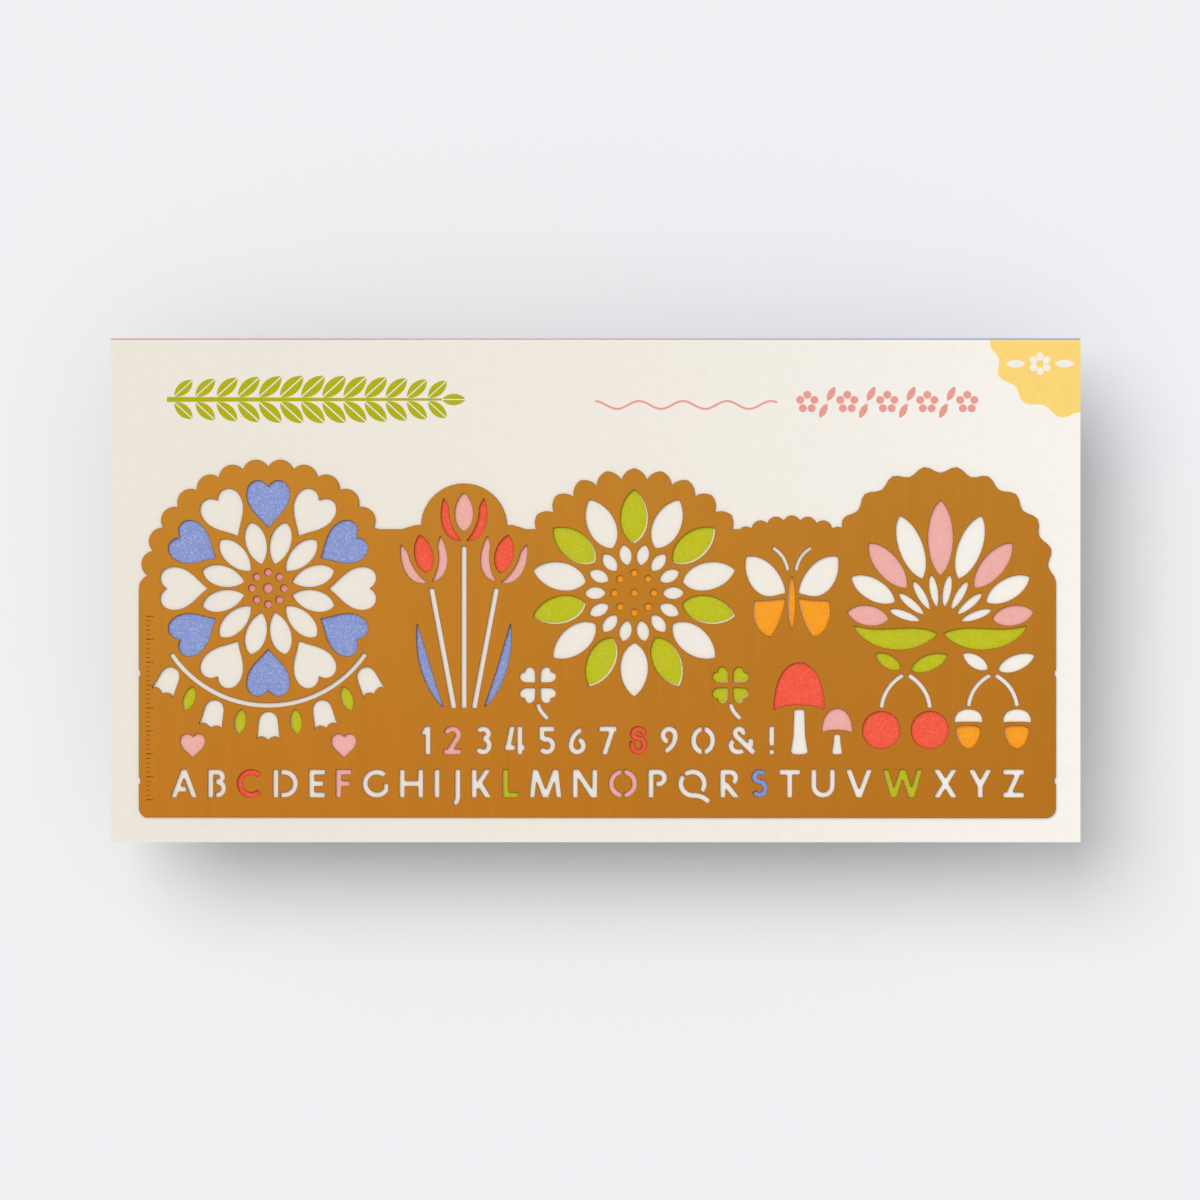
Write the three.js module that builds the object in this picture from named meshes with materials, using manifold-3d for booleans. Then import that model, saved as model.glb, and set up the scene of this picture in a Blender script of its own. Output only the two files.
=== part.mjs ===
// Botanical drawing stencil: a photo-etched brass plate held by glue dots on the face of a folded card.
//
// X runs along the plate, Y from the foot of the card up to its fold, and Z up out of the face.
// The origin is the middle of the underside. Every size is in millimetres.
// On the plate itself, places are measured from its lower left corner.

import * as THREE from "three";
import { mergeVertices } from "three/addons/utils/BufferGeometryUtils.js";
import Module from "manifold-3d";

// Sheet stock
const plateThickness = 0.4;
const boardThickness = 0.6;
const panelGap = 0.6; // air between the two panels of the shut card
const glueThickness = 0.2; // pressed flat by the plate
const glueRadius = 1.8;
const glueInset = 0.5; // from the edge of the plate to a dot
const creaseClearance = 0.3; // between each panel's end and the creased strip

// Card showing round the plate
const leftMargin = 6.1;
const rightMargin = 5.4;
const footMargin = 5.3;
const headMargin = 26.4;

// Plate blank
const cornerRadius = 2.2;
const valleyHeight = 63; // the lowest stretch of the upper edge
const skirt = 4.6; // metal outside a large flower, out to the edge of its dome
const lilySkirt = 7.4;
const rosetteScallops = 30;
const sunflowerPoints = 28;
const pointDepth = 2.6;
const lilyWaves = 22;
const waveDepth = 1.5;
const valleyScallops = 40; // of the shallow disc over the butterfly, most of it inside the plate
const valleyDiscRadius = 24;
const valleyDiscRise = 3;
const tabWidth = 1.2; // recesses where the plate was snapped out of its etching frame
const tabDepth = 0.3;
const lowTabHeight = 7.5;
const highTabHeight = 31;

// Lettering
const letterFoot = 4.5;
const letterMargin = 7;
const capHeight = 6.1;
const digitHeight = 6.1;
const digitSpace = 2.9;
const rowGap = 3.3;
const strokeWidth = 1.1;
const bridge = 0.55; // metal left across a letter to hold its middle

// Large flowers
const web = 1.1; // metal left between two petals where they are widest
const dotRadius = 0.8;
const seedDots = 8;
const bedRise = 6.5; // from the digits up to the foot of the large flowers
const bedGap = 1.8;
const rosetteRadius = 23.6;
const rosetteEye = 3.5;
const rosettePetals = 12;
const heartRing = 13.2; // radius that the points of the hearts stand on
const sunflowerRadius = 22.6;
const sunflowerEye = 6.2;
const sunflowerSeed = 4.6;
const sunflowerPetals = 14;
const lilyHeight = 28;
const lilyHalfWidth = 20.6;
const lilyEye = 4.6;
const lilyInnerTip = 12;
const lilyPetals = 9;
const lilyDrop = 21.6; // from the valley of the upper edge down to the heart of the lily

// Smaller motifs. A pair of sizes is a width and a height.
const tulipBed = 29;
const tulipRise = 4; // from the digits up to the foot of the stems
const tulipHead = [9.6, 10.6];
const tulipHeadDrop = 2.6;
const tulipStem = 1.1;
const sideTulipDrop = 9;
const butterflySpan = 20;
const butterflyDrop = 14.6;
const toadstoolCap = 11;
const toadstoolHeight = 20;
const toadstoolShift = 1.6; // right of the middle of the butterfly
const smallToadstoolCap = 6.6;
const smallToadstoolHeight = 10;
const cloverRadius = 4.4;
const cloverRise = 4.6;
const cloverInset = 1.6;
const swagPlaces = 9;
const swagAngle = 56;
const swagStem = 1;
const bellSize = [5.2, 6.2];
const swagLeaf = [2.5, 5.6];
const smallHeart = [5.4, 5.2];
const smallHeartSpread = 16.5;
const smallHeartRise = 2.6;
const orchardDrop = 9.6; // from the heart of the lily down to the twigs
const cherryOffset = -7.6;
const acornOffset = 11.4;
const cherryRadius = 4.1;
const acornSize = [6, 8];
const fruitSpread = 5.3;
const fruitDrop = 12.6;
const fruitStem = 0.9;

const chordError = 0.1; // furthest that a flat facet strays from the curve it follows
const letterChord = 0.08; // the same in the round parts of letters
const fullTurn = 2 * Math.PI;
const degrees = THREE.MathUtils.degToRad;

// Places that follow from the sizes above
const lettersTop = letterFoot + capHeight;
const digitsFoot = lettersTop + rowGap;
const digitsTop = digitsFoot + digitHeight;
const bedFloor = digitsTop + bedRise;
const rosetteDome = rosetteRadius + skirt;
const sunflowerDome = sunflowerRadius + skirt;
const lilyDome = lilyHalfWidth + skirt;
const rosette = [rosetteDome, bedFloor + rosetteRadius];
const tulips = [2 * rosetteDome + tulipBed / 2, digitsTop + tulipRise];
const tallTulip = valleyHeight - tulips[1] - tulipHeadDrop;
const sideTulip = tulipBed / 2 - tulipHead[0] / 2 - 2.2;
const sunflower = [tulips[0] + tulipBed / 2 + sunflowerRadius, bedFloor + sunflowerRadius];
const butterflyPlace = sunflower[0] + sunflowerRadius + bedGap + butterflySpan / 2;
const butterfly = [butterflyPlace, valleyHeight - butterflyDrop];
const lily = [butterflyPlace + butterflySpan / 2 + bedGap + lilyHalfWidth, valleyHeight - lilyDrop];
const lilyDomeCentre = [lily[0], lily[1] + lilyHeight + lilySkirt - lilyDome];
const plateWidth = lily[0] + lilyDome;
const plateHeight = rosette[1] + rosetteDome;

const cardWidth = leftMargin + plateWidth + rightMargin;
const cardHeight = footMargin + plateHeight + headMargin;
const foldRadius = boardThickness + panelGap / 2;
const panelLength = cardHeight - foldRadius - creaseClearance;
const faceHeight = 2 * boardThickness + panelGap;

const wasm = await Module();
wasm.setup();

// Solids

function solidOf(geometry) {
  const bare = new THREE.BufferGeometry().setAttribute("position", geometry.getAttribute("position"));
  const merged = mergeVertices(bare, 1e-4);
  return new wasm.Manifold(
    new wasm.Mesh({
      numProp: 3,
      vertProperties: new Float32Array(merged.attributes.position.array),
      triVerts: new Uint32Array(merged.index.array),
    }),
  );
}

function geometryOf(solid) {
  const mesh = solid.getMesh();
  const geometry = new THREE.BufferGeometry();
  geometry.setAttribute("position", new THREE.BufferAttribute(mesh.vertProperties, 3));
  geometry.setIndex(new THREE.BufferAttribute(mesh.triVerts, 1));
  const faceted = geometry.toNonIndexed();
  faceted.computeVertexNormals();
  return faceted;
}

function slab(points, depth, bottom = 0) {
  const settings = { depth, bevelEnabled: false };
  return new THREE.ExtrudeGeometry(new THREE.Shape(points), settings).translate(0, 0, bottom);
}

// Outlines. Each is a list of points. A petal's foot is on the origin and its tip is along +Y.

function polygon(corners) {
  return corners.map(([x, y]) => new THREE.Vector2(x, y));
}

function rectangle(left, low, right, high) {
  return polygon([
    [left, low],
    [right, low],
    [right, high],
    [left, high],
  ]);
}

// How far a curve stands off the straight line between its points at two shares of its length.
function sag(curve, from, to) {
  const [start, middle, end] = [from, (from + to) / 2, to].map((share) => curve.getPoint(share));
  const chord = end.sub(start);
  return Math.abs(chord.cross(middle.sub(start))) / Math.max(chord.length(), 1e-6);
}

// The points of a shape, with no more along each curve than it takes to follow it.
function traced(shape) {
  const points = shape.curves.flatMap((curve) => {
    let pieces = curve.isEllipseCurve ? 4 : 1;
    const strays = (_, i) => sag(curve, i / pieces, (i + 1) / pieces) > chordError;
    while (Array.from({ length: pieces }, strays).some(Boolean)) pieces += 1;
    return curve.getPoints(pieces).slice(0, -1);
  });
  return points.filter((point, i) => point.distanceTo(points[(i + 1) % points.length]) > 1e-3);
}

function disc(radius, x = 0, y = 0) {
  return traced(new THREE.Shape().absarc(x, y, radius, 0, fullTurn, false));
}

// The right-hand side as cubic pieces [c1x, c1y, c2x, c2y, x, y] up to the tip, and the same mirrored.
function symmetric(pieces) {
  const shape = new THREE.Shape().moveTo(0, 0);
  pieces.forEach((piece) => shape.bezierCurveTo(...piece));
  const ends = [[0, 0], ...pieces.map((piece) => piece.slice(4))];
  for (let i = pieces.length - 1; i >= 0; i -= 1) {
    const [c1x, c1y, c2x, c2y] = pieces[i];
    shape.bezierCurveTo(-c2x, c2y, -c1x, c1y, -ends[i][0], ends[i][1]);
  }
  return traced(shape);
}

// Pointed at both ends, widest at the share `belly` of its length.
function leaf(length, width, belly = 0.5) {
  const reach = width * 0.66;
  return symmetric([[reach, length * (belly - 0.3), reach, length * (belly + 0.3), 0, length]]);
}

function heart(length, width) {
  const half = width / 2;
  return symmetric([
    [half * 0.3, length * 0.2, half, length * 0.38, half, length * 0.7],
    [half, length * 1.04, half * 0.22, length * 1.08, 0, length * 0.84],
  ]);
}

// A hanging bell flower drawn upside down, with its flared mouth at the tip.
function bell(length, width) {
  const half = width / 2;
  return symmetric([
    [half * 1.1, 0, half * 0.72, length * 0.62, half, length],
    [half * 0.7, length * 0.78, half * 0.4, length * 0.84, 0, length],
  ]);
}

// A strip along a line of points, with square ends.
function band(line, width, endWidth = width) {
  const left = [];
  const right = [];
  line.forEach((point, i) => {
    const before = line[Math.max(i - 1, 0)];
    const after = line[Math.min(i + 1, line.length - 1)];
    const half = (width + ((endWidth - width) * i) / (line.length - 1)) / 2;
    const across = after.clone().sub(before).normalize().multiplyScalar(half);
    across.set(-across.y, across.x);
    left.push(point.clone().add(across));
    right.unshift(point.clone().sub(across));
  });
  return [...left, ...right];
}

function arch(from, bend, to, pieces = 6) {
  return new THREE.QuadraticBezierCurve(...polygon([from, bend, to])).getPoints(pieces);
}

// Part of a ring whose outer radii are rx and ry, from one angle round to another, in degrees.
// Its inner curve stops short by `trim` at both ends.
function ringArc(cx, cy, rx, ry, from, to, trim = 0) {
  const sweep = degrees(to - from);
  const steps = Math.max(2, Math.ceil(sweep / (2 * Math.acos(1 - letterChord / Math.max(rx, ry)))));
  const curve = (a, b, start, end) =>
    Array.from({ length: steps + 1 }, (_, i) => {
      const angle = degrees(start + ((end - start) * i) / steps);
      return [cx + a * Math.cos(angle), cy + b * Math.sin(angle)];
    });
  const outer = curve(rx, ry, from, to);
  const inner = curve(rx - strokeWidth, ry - strokeWidth, from + trim, to - trim);
  return polygon([...outer, ...inner.reverse()]);
}

// Groups of outlines, and moving them about

function moved(outlines, x, y, turn = 0) {
  const origin = new THREE.Vector2();
  const shift = new THREE.Vector2(x, y);
  return outlines.map((points) => points.map((p) => p.clone().rotateAround(origin, turn).add(shift)));
}

function bothSides(outlines) {
  const mirrored = outlines.map((points) => points.map((p) => new THREE.Vector2(-p.x, p.y)).reverse());
  return [...outlines, ...mirrored];
}

// An outline stood on a circle at an angle, clockwise from straight up.
function spoke(outline, radius, angle) {
  return moved([outline], radius * Math.sin(angle), radius * Math.cos(angle), -angle);
}

function ring(count, radius, outline, phase = 0) {
  const turn = (i) => (fullTurn * (i + phase)) / count;
  return Array.from({ length: count }, (_, i) => spoke(outline, radius, turn(i))).flat();
}

function widthInRing(count, radius) {
  return (fullTurn * radius) / count - web;
}

// Large flowers, each about its own centre

function rosetteCuts() {
  const heartLength = rosetteRadius - heartRing;
  const heartWidth = widthInRing(rosettePetals, heartRing + heartLength * 0.66);
  const leafFoot = rosetteEye + dotRadius + web;
  const leafLength = heartRing + heartLength * 0.16 - leafFoot;
  const leafWidth = widthInRing(rosettePetals, leafFoot + leafLength * 0.58);
  return [
    ...ring(rosettePetals, heartRing, heart(heartLength, heartWidth)),
    ...ring(rosettePetals, leafFoot, leaf(leafLength, leafWidth, 0.56), 0.5),
    ...ring(seedDots, rosetteEye, disc(dotRadius)),
    disc(dotRadius * 1.3),
  ];
}

function sunflowerCuts() {
  const petalFoot = sunflowerEye + sunflowerSeed;
  const petalLength = sunflowerRadius - petalFoot;
  const petalWidth = widthInRing(sunflowerPetals, petalFoot + petalLength * 0.44);
  const seedWidth = widthInRing(sunflowerPetals, sunflowerEye + sunflowerSeed / 2);
  return [
    ...ring(sunflowerPetals, petalFoot, leaf(petalLength, petalWidth, 0.46)),
    ...ring(sunflowerPetals, sunflowerEye, leaf(sunflowerSeed, seedWidth), 0.5),
    ...ring(seedDots, sunflowerEye - web - dotRadius, disc(dotRadius)),
    disc(dotRadius),
  ];
}

// A water lily seen from the side: two fans of petals over a pair of lying leaves.
function lilyCuts() {
  const spread = degrees(80);
  const pitch = (2 * spread) / (lilyPetals - 1);
  const outerFoot = lilyInnerTip - web / 2;
  const cuts = [];
  for (let i = 0; i < lilyPetals; i += 1) {
    const angle = pitch * i - spread;
    const tip = THREE.MathUtils.lerp(lilyHeight, lilyHalfWidth, Math.abs(angle) / spread);
    const length = tip - outerFoot;
    const width = pitch * (outerFoot + length * 0.46) - web;
    cuts.push(...spoke(leaf(length, width, 0.5), outerFoot, angle));
  }
  for (let i = 0.5; i < lilyPetals - 1; i += 1) {
    const angle = pitch * i - spread;
    const width = (pitch * (lilyEye + lilyInnerTip)) / 2 - web;
    cuts.push(...spoke(leaf(lilyInnerTip - lilyEye, width, 0.54), lilyEye, angle));
  }
  const pad = new THREE.Shape()
    .moveTo(web / 2, -1.2)
    .bezierCurveTo(6, 1.6, lilyHalfWidth * 0.6, -1.6, lilyHalfWidth * 0.92, 0.6)
    .bezierCurveTo(lilyHalfWidth * 0.8, -5, lilyHalfWidth * 0.3, -7, web / 2, -1.2);
  return [...cuts, ...bothSides([traced(pad)])];
}

// Smaller motifs, each standing on the origin unless it says otherwise

function tulipHeadCuts() {
  const half = tulipHead[0] / 2;
  const high = tulipHead[1];
  const side = new THREE.Shape()
    .moveTo(half * 0.1, 0)
    .bezierCurveTo(half * 0.9, 0, half * 1.25, high * 0.4, half * 0.92, high * 0.9)
    .bezierCurveTo(half * 0.72, high * 0.76, half * 0.64, high * 0.66, half * 0.62, high * 0.5)
    .bezierCurveTo(half * 0.6, high * 0.28, half * 0.4, high * 0.16, half * 0.1, 0);
  const middle = moved([leaf(high * 0.8, half * 0.84, 0.44)], 0, high * 0.2);
  return [...middle, ...bothSides([traced(side)])];
}

function tulipCuts() {
  const lean = degrees(12);
  const low = tallTulip - sideTulipDrop;
  const stemTop = [sideTulip - 0.4, low - tulipHead[1] * 0.12];
  const sideStem = band(arch([tulipStem + web, 0], [sideTulip * 0.6, low * 0.4], stemTop, 4), tulipStem);
  const blade = new THREE.Shape()
    .moveTo(2 * (tulipStem + web), 0)
    .bezierCurveTo(sideTulip * 0.9, 2, sideTulip * 1.5, low * 0.3, sideTulip * 1.36, low * 0.68)
    .bezierCurveTo(sideTulip, low * 0.34, sideTulip * 0.84, low * 0.2, 2 * (tulipStem + web), 0);
  return [
    ...moved(tulipHeadCuts(), 0, tallTulip),
    ...bothSides([...moved(tulipHeadCuts(), sideTulip, low, -lean), sideStem, traced(blade)]),
    rectangle(-tulipStem / 2, 0, tulipStem / 2, tallTulip - web),
  ];
}

// About its own centre.
function butterflyCuts() {
  const half = butterflySpan / 2;
  const upper = new THREE.Shape()
    .moveTo(1.4, 0.7)
    .bezierCurveTo(half * 0.2, half * 0.55, half * 0.62, half * 0.95, half, half * 0.86)
    .bezierCurveTo(half * 1.08, half * 0.45, half * 0.86, half * 0.1, half * 0.62, 0.2)
    .bezierCurveTo(half * 0.4, 0, half * 0.25, 0.2, 1.4, 0.7);
  const lower = new THREE.Shape()
    .moveTo(1.4, -0.5)
    .bezierCurveTo(half * 0.3, -0.9, half * 0.55, -1.1, half * 0.8, -1)
    .bezierCurveTo(half * 0.94, -half * 0.5, half * 0.66, -half * 0.9, half * 0.46, -half * 0.88)
    .bezierCurveTo(half * 0.3, -half * 0.66, half * 0.2, -half * 0.4, 1.4, -0.5);
  const feelerLine = arch([0.9, half * 0.56], [half * 0.14, half * 0.9], [half * 0.42, half * 1.06], 4);
  const feeler = band(feelerLine, 0.75);
  const body = moved([leaf(half * 1.2, 1.6)], 0, -half * 0.74);
  return [...body, ...bothSides([traced(upper), traced(lower), feeler])];
}

function toadstoolCuts(height, cap) {
  const half = cap / 2;
  const capFoot = height * 0.54;
  const dome = symmetric([
    [half * 0.4, 0, half * 0.8, -cap * 0.02, half, -cap * 0.1],
    [half * 1.02, height * 0.28, half * 0.52, height * 0.46, 0, height * 0.46],
  ]);
  const stalk = symmetric([
    [cap * 0.08, 0, cap * 0.14, 0, cap * 0.17, cap * 0.04],
    [cap * 0.08, height * 0.2, cap * 0.12, height * 0.4, cap * 0.1, capFoot - web],
    [cap * 0.06, capFoot - web * 0.9, cap * 0.03, capFoot - web * 0.9, 0, capFoot - web * 0.9],
  ]);
  return [...moved([dome], 0, capFoot), stalk];
}

// A four-leaved clover about the middle of its leaves.
function cloverCuts() {
  const eye = web * 0.75;
  const leafLength = cloverRadius - eye;
  const leaflet = heart(leafLength, widthInRing(4, eye + leafLength * 0.6));
  const r = cloverRadius;
  const stem = band(arch([0, -r * 0.92], [r * 0.06, -r * 1.3], [r * 0.5, -r * 1.66], 3), fruitStem);
  return [...ring(4, eye, leaflet, 0.5), stem];
}

// Bells and leaves hung from a curved stem, which runs round under the rosette.
function swagCuts() {
  const stemRadius = rosetteRadius + 1.3 * web + swagStem / 2;
  const hangRadius = stemRadius + swagStem / 2 + web * 0.8;
  const turn = (share) => degrees(swagAngle) * (2 * share - 1);
  const under = (angle, radius) => [radius * Math.sin(angle), -radius * Math.cos(angle)];
  const stem = Array.from({ length: 13 }, (_, i) => under(turn(i / 12), stemRadius));
  const cuts = [band(polygon(stem), swagStem)];
  for (let i = 0; i < swagPlaces; i += 1) {
    const angle = turn((i + 0.5) / swagPlaces);
    const [x, y] = under(angle, hangRadius);
    const hung = i % 2 ? leaf(swagLeaf[1], swagLeaf[0]) : bell(bellSize[1], bellSize[0]);
    cuts.push(...moved([hung], x, y, Math.PI + angle * 0.5));
  }
  return cuts;
}

// A pair of fruits hung from one twig, with two leaves above. Its origin is the twig.
function fruitPair(fruitCuts, fruitTop) {
  const hang = fruitDrop - fruitTop;
  const bend = [fruitSpread * 0.9, -hang * 0.4];
  const stem = band(arch([0.6, -0.6], bend, [fruitSpread, -hang], 4), fruitStem);
  const longLeaf = spoke(leaf(8.6, 3.4, 0.46), 1.3, degrees(68));
  const shortLeaf = spoke(leaf(6.4, 2.8, 0.46), 1.3, degrees(-58));
  return [...bothSides([...moved(fruitCuts, fruitSpread, -fruitDrop), stem]), ...longLeaf, ...shortLeaf];
}

function cherryCuts() {
  return fruitPair([disc(cherryRadius)], cherryRadius + web * 0.7);
}

function acornCuts() {
  const half = acornSize[0] / 2;
  const high = acornSize[1];
  const nut = symmetric([
    [half * 0.3, -high * 0.02, half * 0.9, high * 0.2, half * 0.86, high * 0.56],
    [half * 0.6, high * 0.62, half * 0.3, high * 0.62, 0, high * 0.62],
  ]);
  const cap = symmetric([
    [half * 0.5, 0, half * 0.9, 0, half, -0.2],
    [half * 1.06, high * 0.26, half * 0.5, high * 0.34, 0, high * 0.34],
  ]);
  const acorn = [...moved([nut], 0, -high / 2), ...moved([cap], 0, high * 0.12 + web * 0.8)];
  return fruitPair(acorn, high * 0.5 + web * 1.1);
}

// Lettering. Each letter is its width and then the outlines that make it up, standing on the origin.

function upright(left, low, high) {
  return rectangle(left, low, left + strokeWidth, high);
}

function bar(middle, left, right) {
  return rectangle(left, middle - strokeWidth / 2, right, middle + strokeWidth / 2);
}

// A slanting stroke with level ends, its middle at x = foot at the height `low` and at x = head at `high`.
function slant(foot, head, low, high) {
  const half = (strokeWidth / 2) * Math.hypot(1, (head - foot) / (high - low));
  return polygon([
    [foot - half, low],
    [foot + half, low],
    [head + half, high],
    [head - half, high],
  ]);
}

// A half ring with an arm from each end, which run left to headLeft and footLeft.
function bowl(headLeft, footLeft, low, high, right) {
  const radius = (high - low) / 2;
  const centre = right - radius;
  return [
    rectangle(headLeft, high - strokeWidth, centre, high),
    rectangle(footLeft, low, centre, low + strokeWidth),
    ringArc(centre, low + radius, radius, radius, -90, 90),
  ];
}

// A straight stroke at any slope, with square ends.
function stroke(from, to) {
  return band(polygon([from, to]), strokeWidth);
}

// Half the angle that a bridge takes out of a circle.
function bridgeAngle(radius) {
  return THREE.MathUtils.radToDeg(Math.asin(bridge / 2 / radius));
}

// The left and right halves of an oval, parted by a straight bridge at its top and foot.
function halves(rx, ry, cy) {
  const gap = bridgeAngle(rx);
  const trim = bridgeAngle(rx - strokeWidth) - gap;
  return [
    ringArc(rx, cy, rx, ry, 90 + gap, 270 - gap, trim),
    ringArc(rx, cy, rx, ry, gap - 90, 90 - gap, trim),
  ];
}

function capitals(h) {
  const s = strokeWidth;
  const foot = s / 2;
  const top = h - foot;
  const middle = h / 2;
  const open = s + bridge; // where a bowl starts, clear of its stem
  const wide = h * 0.92;
  const legs = foot + (wide / 2 - foot) * 0.3;
  const round = h * 0.51; // radius of the round letters, which overshoot the others a little
  const ringGap = bridgeAngle(round);
  const ringTrim = bridgeAngle(round - s) - ringGap;
  return {
    A: [
      wide,
      slant(foot, wide / 2, 0, h),
      slant(wide - foot, wide / 2, 0, h),
      bar(h * 0.3, legs, wide - legs - foot - bridge),
    ],
    B: [
      h * 0.64,
      upright(0, 0, h),
      ...bowl(0, open, h * 0.48, h, h * 0.6),
      ...bowl(open, open, 0, h * 0.48 + s, h * 0.64),
    ],
    C: [h * 0.88, ringArc(middle, middle, middle, middle, 46, 314)],
    D: [h * 0.88, upright(0, 0, h), ...bowl(open, open, 0, h, h * 0.88)],
    E: [h * 0.56, upright(0, 0, h), bar(top, s, h * 0.56), bar(middle, s, h * 0.5), bar(foot, s, h * 0.56)],
    F: [h * 0.54, upright(0, 0, h), bar(top, s, h * 0.54), bar(middle, s, h * 0.48)],
    G: [
      h * 0.92,
      ringArc(middle, middle, middle, middle, 46, 322),
      upright(h * 0.92 - s, h * 0.2, middle),
    ],
    H: [h * 0.84, upright(0, 0, h), upright(h * 0.84 - s, 0, h), bar(middle, s, h * 0.84 - s)],
    I: [s, upright(0, 0, h)],
    J: [h * 0.34, upright(h * 0.34 - s, 0, h), ringArc(0, 0, h * 0.34, h * 0.34, -62, 0)],
    K: [
      h * 0.72,
      upright(0, 0, h),
      slant(s * 0.8, h * 0.72 - s * 0.8, h * 0.32, h),
      slant(h * 0.72 - s * 0.7, s * 1.4, 0, h * 0.56),
    ],
    L: [h * 0.54, upright(0, 0, h), bar(foot, s, h * 0.54)],
    M: [
      h * 1.14,
      slant(foot, h * 0.2, 0, h),
      slant(h * 0.57, h * 0.2, 0, h),
      slant(h * 0.57, h * 0.94, 0, h),
      slant(h * 1.14 - foot, h * 0.94, 0, h),
    ],
    N: [h * 0.88, upright(0, 0, h), upright(h * 0.88 - s, 0, h), slant(h * 0.88 - s * 0.62, s * 0.62, 0, h)],
    O: [2 * round, ...halves(round, round, middle)],
    P: [h * 0.66, upright(0, 0, h), ...bowl(0, open, h * 0.4, h, h * 0.66)],
    Q: [
      h * 1.1,
      ringArc(round, middle, round, round, -40, 135 - ringGap, ringTrim),
      ringArc(round, middle, round, round, 135 + ringGap, 290, ringTrim),
      band(arch([h * 0.52, h * 0.07], [h * 0.84, h * 0.1], [h * 1.1, -h * 0.16], 4), s),
    ],
    R: [
      h * 0.7,
      upright(0, 0, h),
      rectangle(0, top - foot, h * 0.35, h),
      ringArc(h * 0.35, h * 0.71, h * 0.29, h * 0.29, -60, 90),
      slant(h * 0.7 - s * 0.7, s * 0.8, 0, h * 0.54),
    ],
    S: [
      h * 0.6,
      ringArc(h * 0.3, h * 0.74, h * 0.28, h * 0.26, 30, 276),
      ringArc(h * 0.3, (h * 0.48 + s) / 2, h * 0.3, (h * 0.48 + s) / 2, -150, 96),
    ],
    T: [h * 0.74, upright(h * 0.37 - foot, 0, top), bar(top, 0, h * 0.74)],
    U: [
      h * 0.84,
      upright(0, h * 0.42, h),
      upright(h * 0.84 - s, h * 0.42, h),
      ringArc(h * 0.42, h * 0.42, h * 0.42, h * 0.42, 180, 360),
    ],
    V: [wide, slant(wide / 2, foot, 0, h), slant(wide / 2, wide - foot, 0, h)],
    W: [
      h * 1.4,
      slant(h * 0.38, foot, 0, h),
      slant(h * 0.38, h * 0.7, 0, h),
      slant(h * 1.02, h * 0.7, 0, h),
      slant(h * 1.02, h * 1.4 - foot, 0, h),
    ],
    X: [
      h * 0.84,
      slant(foot * 1.2, h * 0.84 - foot * 1.2, 0, h),
      slant(h * 0.84 - foot * 1.2, foot * 1.2, 0, h),
    ],
    Y: [
      h * 0.84,
      upright(h * 0.42 - foot, 0, h * 0.5),
      slant(h * 0.42, foot * 1.2, h * 0.42, h),
      slant(h * 0.42, h * 0.84 - foot * 1.2, h * 0.42, h),
    ],
    Z: [h * 0.74, bar(top, 0, h * 0.74), bar(foot, 0, h * 0.74), slant(s * 0.8, h * 0.74 - s * 0.8, 0, h)],
  };
}

function figures(h) {
  const s = strokeWidth;
  const foot = s / 2;
  const top = h - foot;
  const wide = h * 0.62;
  const half = wide / 2;
  const small = h * 0.26;
  const large = (h + s - 2 * small) / 2;
  return {
    1: [h * 0.34, upright(h * 0.34 - s, 0, h), slant(foot, h * 0.34 - foot, h * 0.72, h)],
    2: [
      wide,
      ringArc(half, h * 0.7, half, h * 0.3, -48, 165),
      stroke([foot * 2, foot], [wide - s * 0.78, h * 0.57]),
      bar(foot, 0, wide),
    ],
    3: [
      wide,
      ringArc(half, h - small, half * 0.92, small, -90, 150),
      ringArc(half, large, half, large, -150, 90),
    ],
    4: [
      h * 0.7,
      upright(h * 0.44, 0, h),
      slant(foot * 1.2, h * 0.44 - bridge - foot, h * 0.24, h),
      bar(h * 0.24, 0, h * 0.44 - bridge),
      bar(h * 0.24, h * 0.44, h * 0.7),
    ],
    5: [
      wide,
      bar(top, s * 0.3, wide * 0.94),
      upright(s * 0.3, h * 0.5, h),
      ringArc(half, h * 0.32, half, h * 0.32, -150, 130),
    ],
    6: [
      wide,
      ringArc(half, h * 0.31, half, h * 0.31, -180, 80),
      ringArc(wide, h * 0.31, wide, h * 0.69, 108, 180),
    ],
    7: [wide, bar(top, 0, wide), slant(wide * 0.3, wide - foot * 1.2, 0, h)],
    8: [
      wide,
      ringArc(half, h - small, half * 0.92, small, -22, 304, 24),
      ringArc(half, large, half, large, -210, 106, 14),
    ],
    9: [
      wide,
      ringArc(half, h * 0.69, half, h * 0.31, 0, 260),
      ringArc(0, h * 0.69, wide, h * 0.69, -72, 0),
    ],
    0: [h * 0.86, ...halves(h * 0.43, h / 2, h / 2)],
    "&": [
      h * 0.98,
      ringArc(h * 0.38, h * 0.77, h * 0.23, h * 0.23, -25, 215),
      stroke([h * 0.23, h * 0.71], [h * 0.92, h * 0.05]),
      upright(h * 0.71, h * 0.28, h * 0.56),
      ringArc(h * 0.345, h * 0.32, h * 0.345, h * 0.32, 132, 312),
    ],
    "!": [s, upright(0, h * 0.32, h), disc(foot * 1.15, foot, foot)],
  };
}

// Letters side by side from x = 0.
function row(alphabet, order, space, low) {
  const cuts = [];
  let x = 0;
  order.forEach((letter) => {
    const [width, ...outlines] = alphabet[letter];
    cuts.push(...moved(outlines, x, low));
    x += width + space;
  });
  return cuts;
}

function rowLength(alphabet, order, space) {
  return order.reduce((sum, letter) => sum + alphabet[letter][0] + space, -space);
}

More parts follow.
